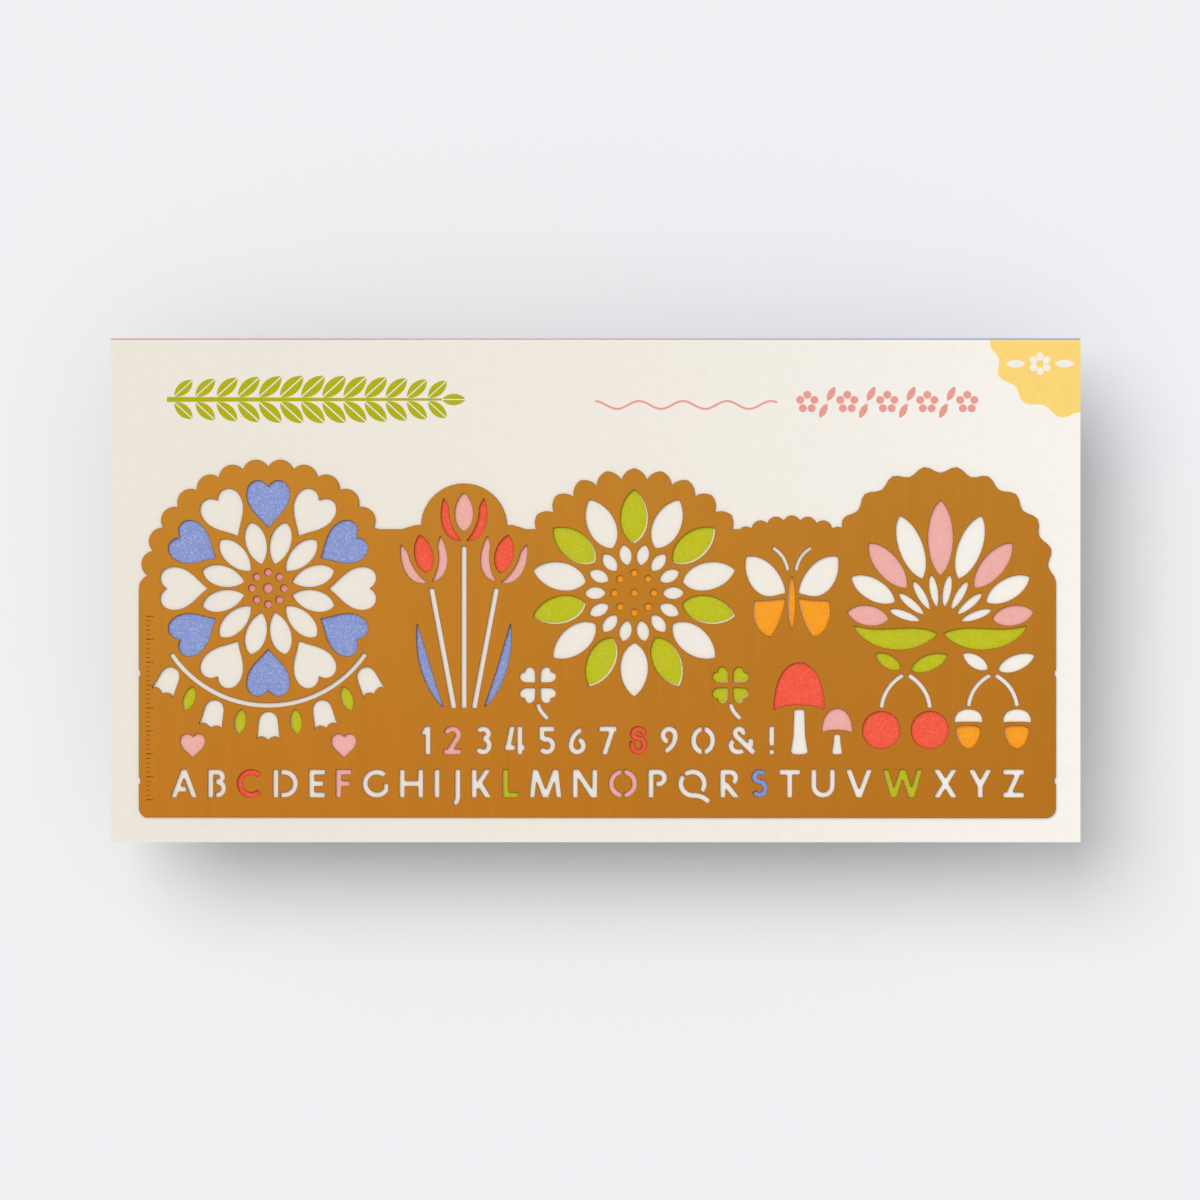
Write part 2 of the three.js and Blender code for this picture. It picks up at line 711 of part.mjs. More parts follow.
function letteringCuts() {
  const letters = capitals(capHeight);
  const order = Object.keys(letters);
  const space = (plateWidth - 2 * letterMargin - rowLength(letters, order, 0)) / (order.length - 1);
  const digits = figures(digitHeight);
  const digitOrder = [..."1234567890&!"];
  const digitsLeft = (plateWidth - rowLength(digits, digitOrder, digitSpace)) / 2;
  return [
    ...moved(row(letters, order, space, letterFoot), letterMargin, 0),
    ...moved(row(digits, digitOrder, digitSpace, digitsFoot), digitsLeft, 0),
  ];
}

// The blank: a long slab with a crown over each flower

// A disc whose rim is a ring of round scallops.
function scallopedDisc(radius, count) {
  const half = Math.PI / count;
  const overlap = 1.12; // of a scallop's radius over half the way to the next
  const centre = radius / (1 + overlap * Math.sin(half));
  const reach = half + Math.PI / 2 - Math.acos(1 / overlap);
  const shape = new THREE.Shape();
  for (let i = 0; i < count; i += 1) {
    const turn = 2 * half * i;
    const place = [centre * Math.cos(turn), centre * Math.sin(turn)];
    shape.absarc(...place, radius - centre, turn - reach, turn + reach, false);
  }
  return traced(shape);
}

// A disc whose rim is a ring of pointed petals, one of them straight up.
function pointedDisc(radius, count, depth) {
  const half = Math.PI / count;
  const at = (r, turn) => [r * Math.sin(turn), r * Math.cos(turn)];
  const shape = new THREE.Shape().moveTo(...at(radius - depth, -half));
  for (let i = 0; i < count; i += 1) {
    const turn = 2 * half * i;
    const shoulder = radius - depth * 0.2;
    shape.quadraticCurveTo(...at(shoulder, turn - half * 0.8), ...at(radius, turn));
    shape.quadraticCurveTo(...at(shoulder, turn + half * 0.8), ...at(radius - depth, turn + half));
  }
  return traced(shape);
}

// A disc whose rim waves in and out.
function wavyDisc(radius, count, depth) {
  const steps = count * 6;
  return Array.from({ length: steps }, (_, i) => {
    const turn = (fullTurn * i) / steps;
    const r = radius - (depth / 2) * (1 - Math.cos(count * turn));
    return new THREE.Vector2(r * Math.cos(turn), r * Math.sin(turn));
  });
}

function blank() {
  const body = new THREE.Shape()
    .moveTo(cornerRadius, 0)
    .absarc(plateWidth - cornerRadius, cornerRadius, cornerRadius, -Math.PI / 2, 0, false)
    .lineTo(plateWidth, lilyDomeCentre[1])
    .lineTo(lily[0], valleyHeight)
    .lineTo(rosette[0], valleyHeight)
    .lineTo(0, rosette[1])
    .absarc(cornerRadius, cornerRadius, cornerRadius, Math.PI, 1.5 * Math.PI, false);
  const hump = tulipHead[0] / 2 + skirt;
  const humpCentre = tulips[1] + tallTulip + tulipHead[1] * 0.3;
  const valleyDisc = scallopedDisc(valleyDiscRadius, valleyScallops);
  const crowns = [
    moved([scallopedDisc(rosetteDome, rosetteScallops)], ...rosette),
    moved([disc(hump)], tulips[0], humpCentre),
    moved(bothSides([disc(hump, sideTulip + bedGap, 0)]), tulips[0], humpCentre - sideTulipDrop),
    moved([pointedDisc(sunflowerDome, sunflowerPoints, pointDepth)], ...sunflower),
    moved([valleyDisc], butterfly[0], valleyHeight + valleyDiscRise - valleyDiscRadius),
    moved([wavyDisc(lilyDome, lilyWaves, waveDepth)], ...lilyDomeCentre),
  ].flat();
  const slabs = [traced(body), ...crowns].map((points) => solidOf(slab(points, plateThickness)));
  return wasm.Manifold.union(slabs);
}

function tabRecesses() {
  return [lowTabHeight, highTabHeight].flatMap((height) => [
    rectangle(-1, height, tabDepth, height + tabWidth),
    rectangle(plateWidth - tabDepth, height, plateWidth + 1, height + tabWidth),
  ]);
}

function everyCut() {
  const toadstool = butterfly[0] + toadstoolShift;
  const smallToadstool = toadstool + (toadstoolCap + smallToadstoolCap) / 2 - web / 2;
  const smallHearts = bothSides(moved([heart(smallHeart[1], smallHeart[0])], smallHeartSpread, 0));
  const cloverHeight = digitsTop + cloverRadius + cloverRise;
  return [
    ...letteringCuts(),
    ...moved(rosetteCuts(), ...rosette),
    ...moved(swagCuts(), ...rosette),
    ...moved(smallHearts, rosette[0], lettersTop + smallHeartRise),
    ...moved(tulipCuts(), ...tulips),
    ...moved(cloverCuts(), sunflower[0] - sunflowerRadius + cloverInset, cloverHeight),
    ...moved(sunflowerCuts(), ...sunflower),
    ...moved(cloverCuts(), sunflower[0] + sunflowerRadius - cloverInset, cloverHeight),
    ...moved(butterflyCuts(), ...butterfly),
    ...moved(toadstoolCuts(toadstoolHeight, toadstoolCap), toadstool, digitsFoot),
    ...moved(toadstoolCuts(smallToadstoolHeight, smallToadstoolCap), smallToadstool, digitsFoot),
    ...moved(lilyCuts(), ...lily),
    ...moved(cherryCuts(), lily[0] + cherryOffset, lily[1] - orchardDrop),
    ...moved(acornCuts(), lily[0] + acornOffset, lily[1] - orchardDrop),
    ...tabRecesses(),
  ];
}

function plateSolid() {
  const cutters = everyCut().map((points) => solidOf(slab(points, 3 * plateThickness, -plateThickness)));
  return blank().subtract(wasm.Manifold.union(cutters));
}

// The card: two flat panels, and the creased strip that joins them along the top

function panel() {
  return new THREE.BoxGeometry(cardWidth, panelLength, boardThickness);
}

function crease() {
  const quarter = Math.PI / 2;
  const halfRing = (radius) => new THREE.EllipseCurve(0, 0, radius, radius, -quarter, quarter, false);
  const bend = (radius) => halfRing(radius).getPoints(10);
  const outline = [...bend(foldRadius), ...bend(panelGap / 2).reverse()];
  return slab(outline, cardWidth, -cardWidth / 2)
    .rotateX(quarter)
    .rotateZ(quarter);
}

// Glue dots lie under plain metal, where no cut-out shows them.
function gluePlaces() {
  const inset = glueRadius + glueInset;
  return [
    [inset, rosette[1] - rosetteRadius * 0.66],
    [plateWidth / 4, inset],
    [2 * rosetteDome - 1.4, rosette[1] - 6],
    [butterfly[0] - butterflySpan / 2, valleyHeight - 1.5],
    [(3 * plateWidth) / 4, inset],
    [plateWidth - inset, lily[1] - 8],
  ];
}

const brass = new THREE.MeshStandardMaterial({ color: 0xc07a24, roughness: 0.42, metalness: 0.85 });
const board = new THREE.MeshStandardMaterial({ color: 0xefeadd, roughness: 0.92, metalness: 0 });
const printedBoard = new THREE.MeshStandardMaterial({ color: 0xc8a0b8, roughness: 0.9, metalness: 0 });
const glue = new THREE.MeshStandardMaterial({ color: 0xe8e6e0, roughness: 0.3, metalness: 0 });

function piece(name, geometry, material, x, y, z) {
  const mesh = new THREE.Mesh(geometry, material);
  mesh.name = name;
  mesh.position.set(x, y, z);
  return mesh;
}

const stencil = new THREE.Group();
const footEdge = -cardHeight / 2;
const panelMiddle = footEdge + panelLength / 2;
const plateCorner = [leftMargin - cardWidth / 2, footEdge + footMargin];

stencil.add(piece("back_panel", panel(), board, 0, panelMiddle, boardThickness / 2));
stencil.add(piece("front_panel", panel(), board, 0, panelMiddle, faceHeight - boardThickness / 2));
stencil.add(piece("fold_crease", crease(), printedBoard, 0, cardHeight / 2 - foldRadius, foldRadius));

gluePlaces().forEach(([x, y], i) => {
  const dot = slab(disc(glueRadius), glueThickness);
  stencil.add(piece(`glue_dot_${i + 1}`, dot, glue, plateCorner[0] + x, plateCorner[1] + y, faceHeight));
});

const plateFoot = faceHeight + glueThickness;
stencil.add(piece("stencil_plate", geometryOf(plateSolid()), brass, ...plateCorner, plateFoot));

export default stencil;
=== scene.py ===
import math

import bmesh
import bpy
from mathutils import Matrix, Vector
from mathutils.geometry import delaunay_2d_cdt, intersect_line_line_2d


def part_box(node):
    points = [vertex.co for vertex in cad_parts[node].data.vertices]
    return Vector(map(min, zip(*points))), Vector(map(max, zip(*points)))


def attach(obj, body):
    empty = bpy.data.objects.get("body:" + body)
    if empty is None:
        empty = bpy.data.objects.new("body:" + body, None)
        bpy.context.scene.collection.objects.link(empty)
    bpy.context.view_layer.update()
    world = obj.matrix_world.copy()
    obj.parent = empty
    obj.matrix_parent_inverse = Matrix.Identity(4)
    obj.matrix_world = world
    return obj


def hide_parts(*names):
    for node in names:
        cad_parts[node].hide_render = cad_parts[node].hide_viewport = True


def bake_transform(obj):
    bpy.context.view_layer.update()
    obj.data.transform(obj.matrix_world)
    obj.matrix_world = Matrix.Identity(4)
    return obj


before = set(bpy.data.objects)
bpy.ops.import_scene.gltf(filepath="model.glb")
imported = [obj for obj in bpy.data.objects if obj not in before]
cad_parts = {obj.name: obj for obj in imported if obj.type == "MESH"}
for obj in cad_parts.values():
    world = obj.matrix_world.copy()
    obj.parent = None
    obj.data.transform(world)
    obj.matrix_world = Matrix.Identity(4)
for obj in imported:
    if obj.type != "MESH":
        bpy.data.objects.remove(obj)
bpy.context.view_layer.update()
scene = bpy.context.scene
mm = 0.001
weld = 0.001 * mm  # points closer than this are one
level = 0.9  # a face whose normal points this far up or down is flat

plateLow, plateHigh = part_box("stencil_plate")
faceLow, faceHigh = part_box("front_panel")
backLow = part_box("back_panel")[0]
creaseLow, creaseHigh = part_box("fold_crease")
cardFace = faceHigh.z
cardLeft, cardRight, cardFoot, cardHead = faceLow.x, faceHigh.x, faceLow.y, creaseHigh.y
cardWidth = cardRight - cardLeft
print("frame loaded,", len(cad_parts), "nodes")


# a wire is a node's socket that can be used in sums
class Wire:
    def __init__(self, sheet, socket):
        self.sheet = sheet
        self.socket = socket

    def sums(self, operation, first, second):
        return self.sheet.node("ShaderNodeMath", {"operation": operation}, {0: first, 1: second})

    def __add__(self, other):
        return self.sums("ADD", self, other)

    def __radd__(self, other):
        return self.sums("ADD", other, self)

    def __sub__(self, other):
        return self.sums("SUBTRACT", self, other)

    def __rsub__(self, other):
        return self.sums("SUBTRACT", other, self)

    def __mul__(self, other):
        return self.sums("MULTIPLY", self, other)

    def __rmul__(self, other):
        return self.sums("MULTIPLY", other, self)

    def __lt__(self, other):
        return self.sums("LESS_THAN", self, other)

    def __gt__(self, other):
        return self.sums("GREATER_THAN", self, other)


class NodeSheet:
    def __init__(self, tree):
        self.tree = tree

    # any node: its type, its settings, what goes into its sockets, and the output that is wanted
    def node(self, kind, settings=None, values=None, output=0):
        made = self.tree.nodes.new(kind)
        for key, value in (settings or {}).items():
            if key == "stops":
                while len(made.color_ramp.elements) < len(value):
                    made.color_ramp.elements.new(0.5)
                for element, (place, colour) in zip(made.color_ramp.elements, value):
                    element.position, element.color = place, (*colour, 1)
            else:
                setattr(made, key, value)
        for key, value in (values or {}).items():
            self.feed(made.inputs[key], value)
        return Wire(self, made.outputs[output]) if made.outputs else None

    def feed(self, socket, value):
        if isinstance(value, Wire):
            self.tree.links.new(value.socket, socket)
        elif socket.type == "RGBA" and len(value) == 3:
            socket.default_value = (*value, 1)
        else:
            socket.default_value = value

    def axis(self, name):
        place = self.node("ShaderNodeTexCoord", output="Object")
        return self.node("ShaderNodeSeparateXYZ", {}, {0: place}, output=name)

    def noise(self, scale, detail=2.0, roughness=0.5, stretch=(1, 1, 1)):
        place = self.node("ShaderNodeTexCoord", output="Object")
        mapped = self.node("ShaderNodeMapping", {}, {"Vector": place, "Scale": stretch})
        values = {"Vector": mapped, "Scale": scale, "Detail": detail, "Roughness": roughness}
        return self.node("ShaderNodeTexNoise", {}, values)

    def between(self, value, low, high):  # 0 at low and 1 at high
        values = {"Value": value, "From Min": low, "From Max": high}
        return self.node("ShaderNodeMapRange", {"clamp": True}, values)

    def around(self, value, middle, reach):  # a value from 0 to 1, spread about a middle
        return value * reach + (middle - reach / 2)

    def mix(self, amount, first, second, blend="MIX"):
        settings = {"data_type": "RGBA", "blend_type": blend}
        return self.node("ShaderNodeMix", settings, {0: amount, 6: first, 7: second}, output=2)

    def ramp(self, value, stops):
        return self.node("ShaderNodeValToRGB", {"stops": stops}, {"Fac": value})

    def bump(self, height, depth, strength):
        values = {"Height": height, "Distance": depth, "Strength": strength}
        return self.node("ShaderNodeBump", {}, values)


class Finish(NodeSheet):
    def __init__(self, name):
        self.material = bpy.data.materials.new(name)
        self.material.use_nodes = True
        super().__init__(self.material.node_tree)
        self.shader = next(n for n in self.tree.nodes if n.type == "BSDF_PRINCIPLED")

    def coat(self, sockets):
        for key, value in sockets.items():
            self.feed(self.shader.inputs[key], value)
        return self.material


def seen(red, green, blue):  # a colour as it is picked on screen, 0 to 255
    return tuple(((c / 255 + 0.055) / 1.055) ** 2.4 for c in (red, green, blue))


def tinted(colour, share):
    return tuple(min(1.0, c * share) for c in colour)


# finishes
board = {
    # painted light: the board runs from a darker left to a lighter right, standing in for the light falling
    # across the card
    "left": seen(238, 231, 219),
    "right": seen(250, 246, 238),
    "clouds": 0.05,
    "cloudSize": 700,
    "cloudRange": (0.35, 0.75),
    "cloudShade": 0.5,
    "fibre": 5200,
    "fibreRelief": (0.02 * mm, 0.4),  # depth and strength
    "roughness": (0.84, 0.1),  # its middle and how far it reaches
    "specular": 0.3,
    "cutEdge": 0.02 * mm,
    "plies": (400, 400, 24000),
    "plyRange": (0.35, 0.65),
    "plyShade": 0.74,
    "plyShare": 0.5,
}

outsidePrint = {
    "stops": [(0.0, seen(216, 166, 170)), (0.45, seen(206, 176, 186)),
              (0.72, seen(184, 178, 200)), (1.0, seen(164, 166, 204))],
    "flecks": 0.4,
    "fleckRange": (0.56, 0.78),
    "roughness": (0.79, 0.1),
    "wrap": 16 * mm,  # how far it runs down the back from the fold
    "skin": 0.02 * mm,
}

ink = {
    "film": 0.02 * mm,
    "grain": (2600, 2.5, 0.62),
    "cloudSize": 420,
    "clouds": (0.95, 1.04),
    "thinRange": (0.5, 0.74),
    "thickRange": (0.46, 0.28),
    "thickShade": 0.8,
    "roughness": (0.78, 0.12),
    "specular": 0.1,
    "relief": (0.015 * mm, 0.5),
    "colours": {
        "blue": seen(134, 151, 210),
        "coral": seen(244, 88, 62),
        "pink": seen(240, 176, 168),
        "lime": seen(192, 192, 16),
        "olive": seen(178, 176, 6),
        "amber": seen(252, 160, 22),
        "yellow": seen(255, 215, 116),
        "rose": seen(234, 156, 145),
        "cream": seen(246, 241, 230),
    },
    "flecks": {"blue": 0.7, "lime": 0.25, "olive": 0.06, "coral": 0.25, "pink": 0.35, "amber": 0.2,
               "yellow": 0.3, "rose": 0.3, "cream": 0.1},
}

brass = {
    # painted light: the head colour is lighter and the foot colour darker, standing in for the sheen
    # falling off down the plate
    "head": seen(157, 103, 25),
    "foot": seen(157, 96, 16),
    "grain": (5200, 70, 900),
    "grainRange": (0.3, 0.7),
    "grainTints": ((0.95, 0.95, 0.95), (1.048, 1.044, 1.04)),
    "bands": (420, 9, 200),
    "bandTints": ((0.98, 0.98, 0.98), (1.018, 1.018, 1.018)),
    "cloudSize": 26,
    "cloudRange": (0.35, 0.7),
    "clouds": 0.2,
    "cloudShade": 0.88,
    "roughness": (0.44, 0.1),
    "roughRange": (0.2, 0.8),
    "metal": 0.85,
    "relief": (0.004 * mm, 0.35),
}

etchedWallAndShade = {
    # painted shade: the cut-out walls are dark brown to stand in for the dark rim the etched edges show, on
    # top of the duller etched metal
    "wall": seen(84, 46, 12),
    "pit": seen(112, 66, 20),
    "pitSize": 9000,
    "pitRange": (0.35, 0.7),
    "roughness": (0.65, 0.2),
    "metal": 0.25,
    "relief": (0.01 * mm, 0.6),
}

glue = {
    "tones": (seen(232, 228, 214), seen(246, 244, 236)),
    "haze": 900,
    "roughness": (0.235, 0.15),
    "clear": 0.15,
    "coat": 0.3,
    "relief": (0.03 * mm, 0.4),
}


def boardToneWithPaintedLight(finish):
    # painted light: darker at the card's left and lighter at its right, as the light falls, with random
    # clouds and darker plies at the cut edges
    across = finish.between(finish.axis("X"), cardLeft, cardRight)
    tone = finish.mix(across * across, board["left"], board["right"])
    cloud = finish.between(finish.noise(board["cloudSize"], 2), *board["cloudRange"])
    clouded = finish.mix(cloud * board["clouds"], tone, tinted(board["left"], board["cloudShade"]))
    leftCut = finish.axis("X") < cardLeft + board["cutEdge"]
    rightCut = finish.axis("X") > cardRight - board["cutEdge"]
    footCut = finish.axis("Y") < cardFoot + board["cutEdge"]
    cut = finish.between(leftCut + rightCut + footCut, 0, 1)
    plies = finish.between(finish.noise(1, 1, stretch=board["plies"]), *board["plyRange"])
    return finish.mix(cut * plies * board["plyShare"], clouded, tinted(board["left"], board["plyShade"]))


def creamBoard(name, patchLeft=None):  # inked from patchLeft to its right edge, if that is given
    finish = Finish(name)
    fibre = finish.noise(board["fibre"], 3)
    tone = boardToneWithPaintedLight(finish)
    if patchLeft is not None:
        tone = finish.mix(finish.axis("X") > patchLeft, tone, ink["colours"]["yellow"])
    return finish.coat({"Base Color": tone, "Roughness": finish.around(fibre, *board["roughness"]),
                        "Specular IOR Level": board["specular"],
                        "Normal": finish.bump(fibre, *board["fibreRelief"])})


# printed all over, or only on the underside next to the fold
def printedBoard(name, allOver):
    finish = Finish(name)
    fibre = finish.noise(board["fibre"], 3)
    across = finish.between(finish.axis("X"), cardLeft, cardRight)
    flecks = finish.between(fibre, *outsidePrint["fleckRange"]) * outsidePrint["flecks"]
    colour = finish.mix(flecks, finish.ramp(across, outsidePrint["stops"]), board["right"])
    if not allOver:
        under = finish.axis("Z") < backLow.z + outsidePrint["skin"]
        nearFold = finish.axis("Y") > cardHead - outsidePrint["wrap"]
        colour = finish.mix(under * nearFold, boardToneWithPaintedLight(finish), colour)
    return finish.coat({"Base Color": colour, "Roughness": finish.around(fibre, *outsidePrint["roughness"]),
                        "Specular IOR Level": board["specular"],
                        "Normal": finish.bump(fibre, *board["fibreRelief"])})


def inkFinish(name):
    colour, flecks = ink["colours"][name], ink["flecks"][name]
    finish = Finish(name + " ink")
    speckle = finish.noise(*ink["grain"])
    cloud = finish.noise(ink["cloudSize"], 1)
    tone = finish.mix(cloud, *(tinted(colour, share) for share in ink["clouds"]))
    pale = tuple((a + b) / 2 for a, b in zip(colour, board["right"]))
    thin = finish.mix(finish.between(speckle, *ink["thinRange"]) * flecks, tone, pale)
    deep = tinted(colour, ink["thickShade"])
    thick = finish.mix(finish.between(speckle, *ink["thickRange"]) * flecks, thin, deep)
    return finish.coat({"Base Color": thick, "Roughness": finish.around(speckle, *ink["roughness"]),
                        "Specular IOR Level": ink["specular"],
                        "Normal": finish.bump(speckle, *ink["relief"])})


# brushed up the plate, and painted lighter at its head and darker at its foot, standing in for the light
# falling off down the plate
def brushedBrass():
    finish = Finish("brushed brass")
    grain = finish.noise(1, 3, stretch=brass["grain"])
    bands = finish.noise(1, 2, stretch=brass["bands"])
    cloud = finish.between(finish.noise(brass["cloudSize"], 2), *brass["cloudRange"])
    # painted light: lighter towards the head of the plate and darker towards its foot
    up = finish.between(finish.axis("Y"), plateLow.y, plateHigh.y)
    tone = finish.mix(up, brass["foot"], brass["head"])
    fine = finish.mix(finish.between(grain, *brass["grainRange"]), *brass["grainTints"])
    broad = finish.mix(finish.between(bands, *brass["grainRange"]), *brass["bandTints"])
    brushed = finish.mix(1.0, finish.mix(1.0, tone, fine, "MULTIPLY"), broad, "MULTIPLY")
    worn = finish.mix(cloud * brass["clouds"], brushed, tinted(brass["head"], brass["cloudShade"]))
    rough = finish.around(finish.between(grain, *brass["roughRange"]), *brass["roughness"])
    return finish.coat({"Base Color": worn, "Metallic": brass["metal"], "Roughness": rough,
                        "Normal": finish.bump(grain, *brass["relief"])})


# dull and finely pitted where the acid ate, and darkened further with painted shade: the dark brown walls
# stand in for the dark rim round each cut-out
def etchedBrassAndShade():
    finish = Finish("etched brass and painted shade")
    pits = finish.noise(etchedWallAndShade["pitSize"], 2)
    pitted = finish.between(pits, *etchedWallAndShade["pitRange"])
    return finish.coat({"Base Color": finish.mix(pitted, etchedWallAndShade["wall"], etchedWallAndShade["pit"]),
                        "Metallic": etchedWallAndShade["metal"],
                        "Roughness": finish.around(pits, *etchedWallAndShade["roughness"]),
                        "Normal": finish.bump(pits, *etchedWallAndShade["relief"])})


def clearGlue():
    finish = Finish("clear glue")
    haze = finish.noise(glue["haze"], 2)
    return finish.coat({"Base Color": finish.mix(haze, *glue["tones"]),
                        "Roughness": finish.around(haze, *glue["roughness"]),
                        "Transmission Weight": glue["clear"], "Coat Weight": glue["coat"],
                        "Normal": finish.bump(haze, *glue["relief"])})


cream = creamBoard("uncoated cream board")
etchedAndShaded = etchedBrassAndShade()
inks = {name: inkFinish(name) for name in ink["colours"]}
print("finishes made")


# modelling helpers
def pick(*objects):  # with nothing else selected
    if bpy.context.object and bpy.context.object.mode != "OBJECT":
        bpy.ops.object.mode_set(mode="OBJECT")
    bpy.ops.object.select_all(action="DESELECT")
    for obj in objects:
        obj.select_set(True)
    if objects:
        bpy.context.view_layer.objects.active = objects[0]


def added(name):
    obj = bpy.context.object
    obj.name = obj.data.name = name
    return obj


def editAll(obj):
    pick(obj)
    bpy.ops.object.mode_set(mode="EDIT")
    bpy.ops.mesh.select_all(action="SELECT")


def settled(obj):
    pick(obj)
    bpy.ops.object.transform_apply(location=True, rotation=True, scale=True)
    return obj


def applied(obj, kind, **settings):
    pick(obj)
    modifier = obj.modifiers.new(kind.title(), kind)
    for key, value in settings.items():
        setattr(modifier, key, value)
    bpy.ops.object.modifier_apply(modifier=modifier.name)
    return obj


def copied(obj, x=0.0, y=0.0, turn=0.0, size=1.0):
    twin = obj.copy()
    twin.data = obj.data.copy()
    scene.collection.objects.link(twin)
    twin.location, twin.rotation_euler.z, twin.scale = (x, y, 0), turn, (size, size, size)
    return settled(twin)


def joined(name, objects):
    pick(*objects)
    if len(objects) > 1:
        bpy.ops.object.join()
    return added(name)


def dropped(*objects):
    for obj in objects:
        bpy.data.objects.remove(obj)


def coated(obj, *materials):
    obj.data.materials.clear()
    for material in materials:
        obj.data.materials.append(material)
    return obj


def fromMesh(name, mesh):
    obj = bpy.data.objects.new(name, mesh)
    scene.collection.objects.link(obj)
    return obj


# flat outlines as one mesh, with a face for each
def flatShapes(name, outlines):
    mesh = bpy.data.meshes.new(name)
    points = [(x, y, 0) for outline in outlines for x, y in outline]
    starts = [sum(len(o) for o in outlines[:i]) for i in range(len(outlines))]
    mesh.from_pydata(points, [], [range(s, s + len(o)) for s, o in zip(starts, outlines)])
    return fromMesh(name, mesh)


# a flat shape becomes a film of ink on the face of the card
def inkFilm(obj, colour, layer=1):
    applied(obj, "SOLIDIFY", thickness=ink["film"], offset=-1)
    obj.location.z = cardFace + ink["film"] * layer
    settled(obj)
    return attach(coated(obj, inks[colour]), "front")


shapes = {
    "leafPoints": 96,
    "dotPoints": 24,
    "petalFoot": 0.3,  # of the flower's radius
    "straight": 0.5,  # degrees, below which points on an outline go
    "hair": 0.0001 * mm,
}


# pointed at both ends, its foot on the origin and its tip along Y, and split by a bare rib
def leafShape(length, width, rib=0.0):
    radius = (length ** 2 + width ** 2) / (4 * width)
    pick()
    bpy.ops.mesh.primitive_circle_add(vertices=shapes["leafPoints"], radius=radius, fill_type="NGON",
                                      location=(width / 2 - radius, length / 2, 0))
    leaf = settled(added("leaf"))
    editAll(leaf)
    bpy.ops.mesh.bisect(plane_co=(rib / 2, 0, 0), plane_no=(1, 0, 0), clear_inner=True,
                        threshold=shapes["hair"])
    bpy.ops.object.mode_set(mode="OBJECT")
    applied(leaf, "MIRROR", use_mirror_merge=True, merge_threshold=weld)
    editAll(leaf)
    bpy.ops.mesh.dissolve_limited(angle_limit=math.radians(shapes["straight"]))
    bpy.ops.mesh.normals_make_consistent(inside=False)
    bpy.ops.object.mode_set(mode="OBJECT")
    return leaf


def dotShape(radius, stretch=1.0, foot=0.0):  # round, or an oval petal that starts at foot along Y
    pick()
    bpy.ops.mesh.primitive_circle_add(vertices=shapes["dotPoints"], radius=radius, fill_type="NGON",
                                      location=(0, foot + radius * stretch, 0))
    dot = added("dot")
    dot.scale.y = stretch
    return settled(dot)


def flowerShape(petals, radius, petalWidth):
    foot = radius * shapes["petalFoot"]
    petal = dotShape(petalWidth / 2, (radius - foot) / petalWidth, foot)
    ring = [copied(petal, turn=2 * math.pi * i / petals) for i in range(petals)]
    dropped(petal)
    return joined("flower", ring)


# along a line of points, as wide at its end as at its start or else tapered
def ribbonShape(name, points, width, endWidth=None):
    left, right = [], []
    last = len(points) - 1
    for i, here in enumerate(points):
        along = Vector(points[min(i + 1, last)]) - Vector(points[max(i - 1, 0)])
        half = (width + ((endWidth or width) - width) * i / last) / 2
        across = Vector((-along.y, along.x)).normalized() * half
        left.append(tuple(Vector(here) + across))
        right.append(tuple(Vector(here) - across))
    mesh = bpy.data.meshes.new(name)
    faces = [(last + 1 + i, last + 2 + i, i + 1, i) for i in range(last)]
    mesh.from_pydata([(x, y, 0) for x, y in left + right], [], faces)
    return fromMesh(name, mesh)


# the card is seen from straight above, a little right of and below its middle
camera = {
    "offset": (0.93 * mm, -2.15 * mm),
    "distance": 1.2,
    "frameWidth": 261.8 * mm,
    "sensor": 36,
    "clipEnd": 100,
}


def makeCamera():
    data = bpy.data.cameras.new("camera")
    data.sensor_width = camera["sensor"]
    data.lens = data.sensor_width * camera["distance"] / camera["frameWidth"]
    data.clip_end = camera["clipEnd"]
    obj = bpy.data.objects.new("camera", data)
    obj.location = (*camera["offset"], cardFace + camera["distance"])
    scene.collection.objects.link(obj)
    scene.camera = obj


makeCamera()
print("camera placed")


# a patch of ink with a wavy edge in the card's corner, and a flower in it
corner = {
    "across": 19.0 * mm,
    "down": 15.7 * mm,
    "wave": 0.75 * mm,
    "waves": 3.5,
    "steps": 72,
    "flower": (6, 2.5 * mm, 1.5 * mm),
    "leaf": (4.2 * mm, 1.7 * mm),
    "leafGap": 3.2 * mm,
    "middle": (8.8 * mm, 5.6 * mm),  # from the card's right edge and its head
}


def cornerPatch():
    right, top = cardRight, faceHigh.y
    points = [(right, top)]
    for i in range(corner["steps"] + 1):
        turn = math.pi / 2 * i / corner["steps"]
        lift = corner["wave"] * math.cos(2 * math.pi * corner["waves"] * i / corner["steps"])
        points.append((right - (corner["across"] + lift) * math.cos(turn),
                       top - (corner["down"] + lift) * math.sin(turn)))
    inkFilm(flatShapes("corner_patch", [points]), "yellow")
    petals, radius, width = corner["flower"]
    x, y = right - corner["middle"][0], cardHead - corner["middle"][1]
    flower = flowerShape(petals, radius, width)
    leaf = leafShape(*corner["leaf"])
    parts = [copied(flower, x, y), copied(leaf, x + corner["leafGap"], y, -math.pi / 2),
             copied(leaf, x - corner["leafGap"], y, math.pi / 2)]
    dropped(flower, leaf)
    return inkFilm(joined("corner_flower", parts), "cream", layer=2)


# the card is bare board inside, printed outside, and rounded over at the fold
fold = {
    "steps": 18,
    "printFrom": 30,  # degrees round from the face at which the outside print starts
    "bend": 0.4 * mm,
    "outer": 0.9,  # of the outer radius, past which a face is on the outside
    "endOn": 0.5,  # how far a face turns to the side, past which it is a cut end
}


